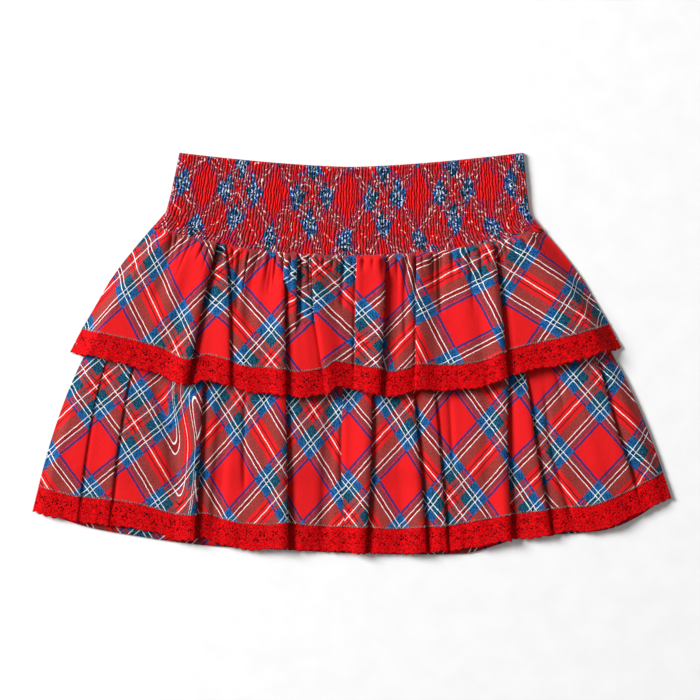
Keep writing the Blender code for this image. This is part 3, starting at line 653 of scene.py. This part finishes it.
    def checkUV(self, v, points):
        x = self.columnX(v, False).T
        run = np.hypot(np.diff(points[..., 0], axis=1), np.diff(points[..., 2], axis=1))
        spare = np.cumsum(run - np.diff(x, axis=1), axis=1)
        spare = np.concatenate((np.zeros((len(v), 1)), spare), axis=1)
        uv = np.zeros((len(v) - 1, x.shape[1] - 1, 4, 2))
        starts = [self.firstColumn(row["start"]) for row in self.check] + [x.shape[1] - 1]
        before = None
        for row, first, last in zip(self.check, starts, starts[1:]):
            own = slice(first, last + 1)
            flat = last
            while self.inDrop[flat] and flat > first + 1:
                flat -= 1
            extra = spare[:, own] - spare[:, first:first + 1]
            trend = extra[:, flat - first] / (x[:, flat] - x[:, first])
            extra = extra - trend[:, None] * (np.minimum(x[:, own], x[:, flat:flat + 1])
                                              - x[:, first:first + 1])
            laid = np.stack((x[:, own] + extra, points[:, own, 1]), axis=-1)
            rise, fall = math.radians(row["rise"]), math.radians(row["fall"])
            onRise = np.array((math.cos(rise), math.sin(rise))) * checkShrink
            onFall = np.array((math.cos(fall), -math.sin(fall))) * checkShrink
            red = np.array((row["redX"], row["redY"]))
            turn = np.linalg.inv(np.stack((onFall, onRise), axis=1)).T
            place = (laid - red) @ turn
            if self.folds[self.index[first]]["kind"] == "valley":      # the same cloth goes on
                share = ease((x[:, own] - x[:, first:first + 1]) / self.look["bend"])[..., None]
                place = place * share + (laid - before[0]) @ before[1] * (1.0 - share)
            before = (red, turn)
            uv[:, first:last] = corners(place)
        return uv


floors = {"shortsHem": 104.0, "shortsReach": 26.0,      # mm below the middle, and mm of slope
          "lowerPuff": 7.4, "grow": 0.9, "start": 0.05}   # what the lower tier's folds take up


def lowerFloor(edge, y, v):
    # over the back's layers at the sides and the hem, and over the shorts
    along = ease((y + floors["shortsHem"] + floors["shortsReach"]) / floors["shortsReach"])
    return 2 * layerStep + (lowerFrontZ - 2 * layerStep) * along * edge


def upperFloor(edge, y, v):
    # over the lower tier, and down to the back at the side seams
    full = upperFrontZ + floors["lowerPuff"] * ease(v * floors["grow"] + floors["start"])
    return layerStep + (full - layerStep) * edge


upperLook = {"pitch": 1.05, "seed": 11, "gatherWide": (0.7, 2.2), "gatherDeep": (2.0, 5.5),
             "gatherLong": (0.14, 0.5), "gatherStep": (4.0, 11.0), "gatherPuff": 2.8,
             "gatherSharp": 1.3, "tuck": True}
lowerLook = {"pitch": 1.4, "seed": 23, "gatherWide": (1.2, 2.6), "gatherDeep": (0.5, 1.4),
             "gatherLong": (0.4, 0.62), "gatherStep": (7.0, 15.0), "gatherPuff": 0.0,
             "gatherSharp": 1.5, "tuck": False, "bend": 36.0}
seamTuck = {"up": 0.028, "z": 5.0, "reach": 0.045}    # how the upper tier dips under the band

upper = Tier(upperFolds, upperCheck, (0.8, 0.95, 1.0), upperFloor, 19.0, upperLook)
lower = Tier(lowerFolds, lowerCheck, (0.0, 0.62, 1.0), lowerFloor, 11.0, lowerLook)


def tierFront(name, tier, v, material):
    points = tier.surface(v)
    return clothShell(name, points, tier.checkUV(v, points), material, 0.7)


upperV = np.concatenate(((-seamTuck["up"],), np.linspace(-0.01, 0.3, 20)[:-1], np.linspace(0.3, 1.0, 32)))
lowerV = np.concatenate((np.linspace(0.0, 0.42, 9)[:-1], np.linspace(0.42, 1.0, 56)))
upperFront = tierFront("upper_tier_front_cloth", upper, upperV, tartan)
lowerFront = tierFront("lower_tier_front_cloth", lower, lowerV, tartan)
print("front tiers:", len(upperFront.data.polygons), len(lowerFront.data.polygons), "faces")


# Lace

laceLook = {"wide": 24.0, "flare": 0.9, "step": 0.8, "thick": 0.8, "scallop": 7.2, "tooth": 1.6,
            "wander": 1.1, "wanderLong": 43.0, "cluster": 13.0, "hole": 0.7, "rows": (8.5, 13.5),
            "tuck": 1.5, "ripple": 0.5, "seed": 5, "aimFrom": 0.8, "backSpare": 3.0,
            "edgeCord": 0.5, "cordHalf": 0.8, "toothReach": 5.0,
            "holeSlip": 0.6, "holeSlipLong": 9.1, "uneven": 0.9, "unevenLong": 11.0,
            "waves": ((0.6, 31.0), (0.5, 17.0), (0.3, 9.0)),  # height and length of each ripple
            "underZ": -1.0, "onZ": -0.35,                     # above and below the hem's edge
            "relax": 13.0, "relaxDown": 9.0, "calm": 0.72}    # the folds soften down the lace
petals = ((0.0, 0.0), (2.1, 1.5), (-2.1, 1.5), (2.1, -1.5), (-2.1, -1.5))
petalCounts = (5, 3)        # of each row's flowers


def laceHoles(s, t):
    # where the eyelets are, for face centres at s along and t down the lace
    look = laceLook
    holes = np.zeros(s.shape, bool)
    for row, down in enumerate(look["rows"]):
        phase = (s + row * look["cluster"] / 2) % look["cluster"] - look["cluster"] / 2
        slip = look["holeSlip"] * np.sin(s / look["holeSlipLong"] + 2.0 * row)
        for ds, dt in petals[:petalCounts[row]]:
            holes |= np.hypot(phase - ds, t - down - dt - slip) < look["hole"]
    return holes


def resample(points, step):
    # even places along a line, and how far along it each of its points lies
    run = np.linalg.norm(np.diff(points, axis=0), axis=1)
    along = np.concatenate(([0.0], np.cumsum(run)))
    count = max(2, int(round(along[-1] / step)) + 1)
    places = np.linspace(0.0, along[-1], count)
    return places, along


def laceStrip(name, head, direction, wide, material, ripple=0.0, tuckUnder=True):
    # a scalloped strip that hangs from a line of points, in its own direction at each
    look = laceLook
    places, along = resample(head, look["step"])
    start = np.stack([np.interp(places, along, head[:, i]) for i in range(3)], axis=-1)
    way = np.stack([np.interp(places, along, direction[:, i]) for i in range(2)], axis=-1)
    way /= np.linalg.norm(way, axis=1)[:, None]
    downs = np.arange(-look["tuck"], wide, look["step"])
    downs = np.append(downs[:-1], wide)
    uneven = places + look["uneven"] * np.sin(places / look["unevenLong"])
    scallop = np.abs(np.cos(math.pi * uneven / look["scallop"]))
    tooth = look["tooth"] * (scallop - 0.5)
    tooth += look["wander"] * np.sin(2 * math.pi * places / look["wanderLong"]) * np.sin(places / 17.0)
    last = ease((downs - wide + look["toothReach"]) / look["toothReach"])
    t = downs[:, None] + last[:, None] * tooth[None, :]
    noise = np.random.default_rng(look["seed"])
    wave = sum(a * np.sin(2 * math.pi * (places / w + noise.random())) for a, w in look["waves"])
    reach = int(look["relax"] / look["step"])
    window = np.hanning(2 * reach + 1) / np.hanning(2 * reach + 1).sum()
    calm = np.convolve(np.pad(start[:, 2], reach, mode="edge"), window, "valid")
    z = start[None, :, 2] + (calm - start[:, 2])[None, :] * ease(t / look["relaxDown"]) * look["calm"]
    z = z + ripple * wave[None, :] * ease(t / wide)
    cord = (downs[:, None] - wide + look["cordHalf"]) / look["cordHalf"]
    z = z + look["edgeCord"] * np.exp(-cord ** 2)
    tucked = np.where(t < 0.0, look["underZ"], look["onZ"]) if tuckUnder else 0.0
    points = np.stack((start[None, :, 0] + way[None, :, 0] * t,
                       start[None, :, 1] + way[None, :, 1] * t, z + tucked), axis=-1)
    uv = corners(np.stack(np.broadcast_arrays(places[None, :], t), axis=-1))
    middle = uv.mean(axis=2)
    keep = ~laceHoles(middle[..., 0], middle[..., 1])
    return clothShell(name, points, uv, material, look["thick"], keep)


def tierLace(name, tier, material):
    v = np.array([laceLook["aimFrom"], 1.0])
    edge = tier.surface(v)
    head = edge[1]
    run = tier.columnX(v, False)
    fall = (edge[0, :, 1] - edge[1, :, 1])
    angle = laceLook["flare"] * np.arctan2(run[:, 1] - run[:, 0], fall)
    direction = np.stack((np.sin(angle), -np.cos(angle)), axis=-1)
    return laceStrip(name, head, direction, laceLook["wide"], material, laceLook["ripple"])


upperLace = tierLace("upper_lace_front_strip", upper, lace)
lowerLace = tierLace("lower_lace_front_strip", lower, lace)
print("front laces:", len(upperLace.data.polygons), len(lowerLace.data.polygons), "faces")


# Waistband

smockLook = {"pucker": 2.6, "rows": 58, "shirr": 5.4, "jitter": 0.3, "uneven": (0.75, 1.5),
             "deep": 2.7, "low": 0.55, "top": 7.4, "edgeZ": 3.9, "edgeRoll": 6.0, "topRoll": 0.02,
             "seed": 3, "gather": 2.15, "thick": 0.5, "wide": 345.0, "high": 96.0,
             "bow": 0.4, "swell": 0.25,           # of a pucker between two rows of stitching
             "slip": 3.4, "slipMost": 1.2, "slipOver": 9,     # how the check shifts between puckers
             "jag": 1.8, "jagFrom": 0.9, "jagReach": 0.1,     # how the lower edge hangs unevenly
             # below this share of a pucker's height, the band's colour gets painted shade
             "grooveShadeUnder": 0.5, "redX": -2.6, "redDown": 33.0}
puckerProfile = (   # share of a pucker's width, height
    (0.0, 0.0), (0.17, 0.7), (0.4, 0.98), (0.62, 0.95), (0.84, 0.62),
)


def smockedPanel(name, material, look):
    # elastic shirring: uneven upright puckers whose lines shift at every row of stitching
    noise = np.random.default_rng(look["seed"])
    puckers = int(round(look["wide"] / look["pucker"]))
    shirrs = int(round(look["high"] / look["shirr"])) + 2
    shift = noise.uniform(-look["jitter"], look["jitter"], (shirrs, puckers + 1))
    lean = noise.uniform(-0.5, 0.5, (shirrs, puckers + 1))
    high = noise.uniform(look["low"], 1.0, (shirrs, puckers + 1))
    slips = np.cumsum(noise.uniform(-1.0, 1.0, puckers + 1)) * 0.5 + noise.uniform(-1.0, 1.0, puckers + 1)
    over = look["slipOver"]
    slips = slips - np.convolve(slips, np.ones(over) / over, "same")
    slips = look["slip"] * np.clip(slips, -look["slipMost"], look["slipMost"])
    jag = look["jag"] * noise.uniform(-1.0, 1.0, puckers + 1)
    widths = noise.uniform(*look["uneven"], puckers)
    starts = np.concatenate(([0.0], np.cumsum(widths))) * puckers / widths.sum()
    v = np.linspace(0.0, 1.0, look["rows"] + 1)
    place = v * (shirrs - 1.001)
    k = place.astype(int)
    part = (place - k)[:, None]
    sway = ease(part)
    shifts = shift[k] * (1 - sway) + shift[k + 1] * sway
    shifts = shifts + look["bow"] * lean[k] * np.sin(math.pi * part)
    highs = high[k] * (1 - sway) + high[k + 1] * sway
    highs = highs * (1.0 - look["swell"] + look["swell"] * np.sin(math.pi * part))
    shifts[:, 0] = shifts[:, -1] = 0.0
    across, rises, cloth, slip, hang = [], [], [], [], []
    for p in range(puckers + 1):
        a = starts[p] + shifts[:, p]
        b = starts[min(p + 1, puckers)] + shifts[:, min(p + 1, puckers)]
        for share, rise in puckerProfile if p < puckers else puckerProfile[:1]:
            across.append(a + (b - a) * share)
            rises.append(rise * highs[:, p])
            cloth.append(p + share)
            slip.append(slips[p])
            hang.append(jag[p])
    across = np.array(across).T / puckers
    rises = np.array(rises).T
    left, right = bandEdge("left", v)[:, None], bandEdge("right", v)[:, None]
    x = left + (right - left) * across
    y = waistY(x) + (seamY(x) - waistY(x)) * v[:, None]
    y = y - np.array(hang)[None, :] * ease((v[:, None] - look["jagFrom"]) / look["jagReach"])
    edge = np.sqrt(np.clip(np.minimum(x - left, right - x) / look["edgeRoll"], 0.0, 1.0))
    topRoll = np.sqrt(np.clip(v / look["topRoll"], 0.0, 1.0))[:, None]
    z = look["edgeZ"] + (look["top"] - look["edgeZ"] + (rises - 1.0) * look["deep"]) * edge * topRoll
    z = np.maximum(z, look["edgeZ"] - 0.2)
    run = np.hypot(np.diff(x, axis=1), np.diff(z, axis=1)).mean(axis=0)
    along = np.concatenate(([0.0], np.cumsum(run)))
    along *= look["gather"] * look["wide"] / along[-1]
    middle = np.interp(look["redX"], x[len(v) // 3], along)
    s = along[None, :] - middle + 0.0 * x
    t = (v * look["high"])[:, None] - look["redDown"] + np.array(slip)[None, :]
    uv = corners(np.stack((s + t, s - t), axis=-1) * math.sqrt(0.5))
    points = np.stack((x, y, z), axis=-1)
    # painted shade: how much the colour is darkened at each point, full in the lowest places between
    # puckers
    grooveShade = 1.0 - ease(rises / look["grooveShadeUnder"])
    return clothShell(name, points, uv, material, look["thick"], grooveShade=grooveShade)


bandFront = smockedPanel("waistband_front_smocking", smocked, smockLook)
print("smocked band:", len(bandFront.data.polygons), "faces")


# Backs

def backPoint(tier, hem, share, v):
    # x, y of a back panel at a share of its width and at v, between the front's side seams
    sides = []
    for edge, low in ((tier.folds[0], hem[0][1]), (tier.folds[-1], hem[-1][1])):
        top = seamY(edge["top"]) - layers["gap"]
        at = v * (top - low) / (top - edge["hemY"])
        sides.append(through(at, stations, [edge[s] for s in ("top", "half", "low", "hem")]))
    left, right = sides
    tops = tier.folds[0]["top"] + (tier.folds[-1]["top"] - tier.folds[0]["top"]) * share
    top = seamY(tops) - layers["gap"]
    low = through(hem[0][0] + (hem[-1][0] - hem[0][0]) * share, *zip(*hem))
    return left + (right - left) * share, top + (low - top) * v


backLook = {"spare": 1.12, "crease": 0.28, "creaseHalf": 1.8, "creaseSharp": 1.4,
            "creaseStep": (0.02, 0.065), "creaseLong": (0.4, 1.0), "creaseLean": 0.02,
            "creaseFade": 0.2, "fromSeam": 0.6, "seed": 17}


def backCreases(share, v, wide):
    # pressed folds at uneven distances, which run from the seam or from the hem
    look = backLook
    noise = np.random.default_rng(look["seed"])
    total = np.zeros(np.broadcast_shapes(share.shape, v.shape))
    at = look["creaseStep"][0]
    while at < 1.0 - look["creaseStep"][0]:
        long = noise.uniform(*look["creaseLong"])
        lean = noise.uniform(-1.0, 1.0) * look["creaseLean"]
        deep = noise.uniform(*look["creaseLong"])
        down = v if noise.random() < look["fromSeam"] else 1.0 - v
        fade = 1.0 - ease((down - long) / look["creaseFade"] + 0.5)
        away = np.abs((share - at - lean * v) * wide / look["creaseHalf"])
        total += deep * fade * np.exp(-away ** look["creaseSharp"])
        at += noise.uniform(*look["creaseStep"])
    return np.minimum(total, 1.0)


def backPanel(name, tier, hem, lift, long, columns, rows, material):
    share = np.linspace(0.0, 1.0, columns)[None, :]
    v = np.linspace(0.0, 1.0, rows)[:, None]
    x, y = backPoint(tier, hem, share, v + 0.0 * share)
    z = lift(y, hem, share) + backLook["crease"] * backCreases(share, v, x[:, -1:] - x[:, :1])
    s = x[-1:, :] * backLook["spare"] + 0.0 * x
    t = v * long + 0.0 * x
    uv = corners(np.stack((s + t, s - t), axis=-1) * math.sqrt(0.5))
    return clothShell(name, np.stack((x, y, z), axis=-1), uv, material, 0.7)


def upperBackZ(y, hem, share):
    return np.full(y.shape, layers["cloth"])


def lowerBackZ(y, hem, share):
    # it lies over the upper back, then on the table, then on its own lace
    low = through(hem[0][0] + (hem[-1][0] - hem[0][0]) * share, *zip(*hem))
    over = ease((y - backHems["stepY"]) / backHems["step"])
    onLace = ease((low + laceLook["wide"] + backHems["laceLap"] - y) / backHems["laceLap"])
    return layers["cloth"] + layerStep * np.maximum(over, onLace)


upperBack = backPanel("upper_tier_back_cloth", upper, backHems["upper"], upperBackZ, 112.0, 380, 14,
                      tartan)
lowerBack = backPanel("lower_tier_back_cloth", lower, backHems["lower"], lowerBackZ, 280.0, 480, 40,
                      tartan)


def hangingWay(edge):
    way = np.gradient(edge[:, :2], axis=0)
    way /= np.linalg.norm(way, axis=1)[:, None]
    return np.stack((way[:, 1], -way[:, 0]), axis=-1)


def backLaces(count=90, z=0.95):
    # one lace hangs below the upper back's hem, and the other lies on the outside of the lower one
    share = np.linspace(0.0, 1.0, count)
    x, y = backPoint(upper, backHems["upper"], share, np.ones(count))
    edge = np.stack((x, y, np.full(count, z)), axis=-1)
    high = laceStrip("upper_lace_back_strip", edge, hangingWay(edge), laceLook["wide"], lace,
                     tuckUnder=False)
    x, y = backPoint(lower, backHems["lower"], share, np.ones(count))
    top = backPoint(lower, backHems["lower"], share, np.zeros(count))[1]
    inner = backPoint(lower, backHems["lower"], share, (top - y - laceLook["wide"]) / (top - y))
    edge = np.stack((inner[0], inner[1], np.full(count, z)), axis=-1)
    low = laceStrip("lower_lace_back_strip", edge, np.stack((x, y), axis=-1) - edge[:, :2],
                    laceLook["wide"] - laceLook["backSpare"], lace, tuckUnder=False)
    return high, low


upperBackLace, lowerBackLace = backLaces()
print("backs ready")


# Overlock stitches along the front hems

overlockLook = {"spacing": 1.6, "long": 1.7, "thick": 0.3, "up": 0.3, "inset": 0.9, "slant": 0.6,
                "seed": 7}


def overlockTree(material):
    # a Geometry Nodes tree that lays slanting thread loops along a line
    tree = bpy.data.node_groups.new("overlockLoops", "GeometryNodeTree")
    tree.interface.new_socket("Line", in_out="INPUT", socket_type="NodeSocketGeometry")
    for name in ("Spacing", "Loop Length", "Thread Thickness", "Slant"):
        tree.interface.new_socket(name, in_out="INPUT", socket_type="NodeSocketFloat")
    tree.interface.new_socket("Seed", in_out="INPUT", socket_type="NodeSocketInt")
    tree.interface.new_socket("Loops", in_out="OUTPUT", socket_type="NodeSocketGeometry")
    given = put(tree, "NodeGroupInput").outputs
    curve = put(tree, "GeometryNodeMeshToCurve", Mesh=given["Line"])
    even = put(tree, "GeometryNodeResampleCurve", {"mode": "LENGTH"}, Curve=curve.outputs[0],
               Length=given["Spacing"])
    size = put(tree, "ShaderNodeCombineXYZ", X=given["Thread Thickness"], Y=given["Loop Length"],
               Z=given["Thread Thickness"])
    loop = put(tree, "GeometryNodeMeshCube", Size=size.outputs[0], Vertices_Y=4)
    along = put(tree, "GeometryNodeInputTangent")
    aim = put(tree, "FunctionNodeAlignEulerToVector", {"axis": "X"}, Vector=along.outputs[0])
    least = maths(tree, "MULTIPLY", given["Slant"], -1.0)
    lean = put(tree, "FunctionNodeRandomValue", {"data_type": "FLOAT"}, Seed=given["Seed"])
    tree.links.new(least, lean.inputs[2])
    tree.links.new(given["Slant"], lean.inputs[3])
    leaning = put(tree, "ShaderNodeCombineXYZ", Z=lean.outputs[1])
    turned = put(tree, "FunctionNodeRotateEuler", {"space": "LOCAL"}, Rotation=aim.outputs[0],
                 Rotate_By=leaning.outputs[0])
    placed = put(tree, "GeometryNodeInstanceOnPoints", Points=even.outputs[0],
                 Instance=loop.outputs[0], Rotation=turned.outputs[0])
    solid = put(tree, "GeometryNodeRealizeInstances", Geometry=placed.outputs[0])
    painted = put(tree, "GeometryNodeSetMaterial", Geometry=solid.outputs[0], Material=material)
    put(tree, "NodeGroupOutput", Loops=painted.outputs[0])
    return tree


overlockLoops = overlockTree(overlockThread)


def overlock(name, tier, tall, look):
    # its line runs just above the hem, on the cloth of a tier that is about so many mm tall
    share = 1.0 - look["inset"] / tall
    line = tier.surface(np.array([share]))[0] + np.array((0.0, 0.0, look["up"]))
    mesh = bpy.data.meshes.new(name)
    mesh.from_pydata((line * mm).tolist(), [(i, i + 1) for i in range(len(line) - 1)], [])
    thing = bpy.data.objects.new(name, mesh)
    scene.collection.objects.link(thing)
    making = thing.modifiers.new("loops", "NODES")
    making.node_group = overlockLoops
    values = {"Spacing": look["spacing"] * mm, "Loop Length": look["long"] * mm,
              "Thread Thickness": look["thick"] * mm, "Slant": look["slant"], "Seed": look["seed"]}
    for socket in overlockLoops.interface.items_tree:
        if socket.name in values and socket.in_out == "INPUT":
            making[socket.identifier] = values[socket.name]
    return flatten(thing)


upperOverlock = overlock("upper_hem_overlock", upper, 100.0, overlockLook)
lowerOverlock = overlock("lower_hem_overlock", lower, 250.0, overlockLook)
print("overlock:", len(upperOverlock.data.polygons) + len(lowerOverlock.data.polygons), "faces")


# What each piece is and what it stands for

tierPieces = (
    # piece, node it replaces, slot
    (bandFront, "waistband_front", "smocked_tartan"),
    (upperFront, "upper_tier_front", "tartan_cotton"),
    (upperLace, "upper_lace_front", "cotton_lace"),
    (lowerFront, "lower_tier_front", "tartan_cotton"),
    (lowerLace, "lower_lace_front", "cotton_lace"),
    (upperBack, "upper_tier_back", "tartan_cotton"),
    (upperBackLace, "upper_lace_back", "cotton_lace"),
    (lowerBack, "lower_tier_back", "tartan_cotton"),
    (lowerBackLace, "lower_lace_back", "cotton_lace"),
)
for piece, node, slot in tierPieces:
    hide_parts(node)
    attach(piece, "root")

for piece in (upperOverlock, lowerOverlock):
    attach(piece, "root")

for node, material in (("waistband_back", smockedFlat), ("shorts_front", plainCotton),
                       ("shorts_back", plainCotton)):
    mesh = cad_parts[node].data
    mesh.materials.clear()
    mesh.materials.append(material)


# Table, light and camera

def makeStage():
    bpy.ops.mesh.primitive_plane_add(size=8.0)
    floor = bpy.context.object
    floor.name = "paleTable"
    material, tree, shader = newMaterial("paintedBoard", 0.9, 0.0, 0.1)
    place = put(tree, "ShaderNodeTexCoord").outputs["Object"]
    grain = put(tree, "ShaderNodeTexNoise", Vector=place, Scale=40.0).outputs["Fac"]
    shades = ramp(tree, grain, ((0.3, linear("#F6F6F6")), (0.7, linear("#FAFAFA"))))
    tree.links.new(shades.outputs["Color"], shader.inputs["Base Color"])
    floor.data.materials.append(material)


lightLook = {"sky": 0.15, "keyPower": 640.0, "keyPlace": (-4.8, 2.2, 3.6), "keySize": 2.6,
             "fillPower": 5.0, "fillPlace": (0.9, 0.2, 2.0), "fillSize": 1.4}


def makeLight(name, place, power, size):
    data = bpy.data.lights.new(name, "AREA")
    data.energy = power
    data.size = size
    lamp = bpy.data.objects.new(name, data)
    lamp.location = place
    aim = -np.array(place)
    lamp.rotation_euler = (math.acos(-aim[2] / np.linalg.norm(aim)), 0.0, math.atan2(-aim[0], aim[1]))
    scene.collection.objects.link(lamp)


def makeSky():
    world = bpy.data.worlds.new("softStudio")
    scene.world = world
    world.use_nodes = True
    world.node_tree.nodes["Background"].inputs["Color"].default_value = (1.0, 1.0, 1.0, 1.0)
    world.node_tree.nodes["Background"].inputs["Strength"].default_value = lightLook["sky"]


cameraLook = {"lens": 120.0, "sensor": 36.0, "frameWide": 665.0, "centre": (-1.6, 3.8), "focusZ": 8.0}


def makeCamera():
    # straight above, as the photograph was taken
    look = cameraLook
    data = bpy.data.cameras.new("copyStand")
    data.lens = look["lens"]
    data.sensor_width = look["sensor"]
    camera = bpy.data.objects.new("copyStand", data)
    high = look["frameWide"] * look["lens"] / look["sensor"] + look["focusZ"]
    camera.location = (look["centre"][0] * mm, look["centre"][1] * mm, high * mm)
    scene.collection.objects.link(camera)
    scene.camera = camera


makeStage()
makeSky()
makeLight("keyLight", lightLook["keyPlace"], lightLook["keyPower"], lightLook["keySize"])
makeLight("fillLight", lightLook["fillPlace"], lightLook["fillPower"], lightLook["fillSize"])
makeCamera()
scene.view_settings.view_transform = "Standard"
print("stage, light and camera ready")
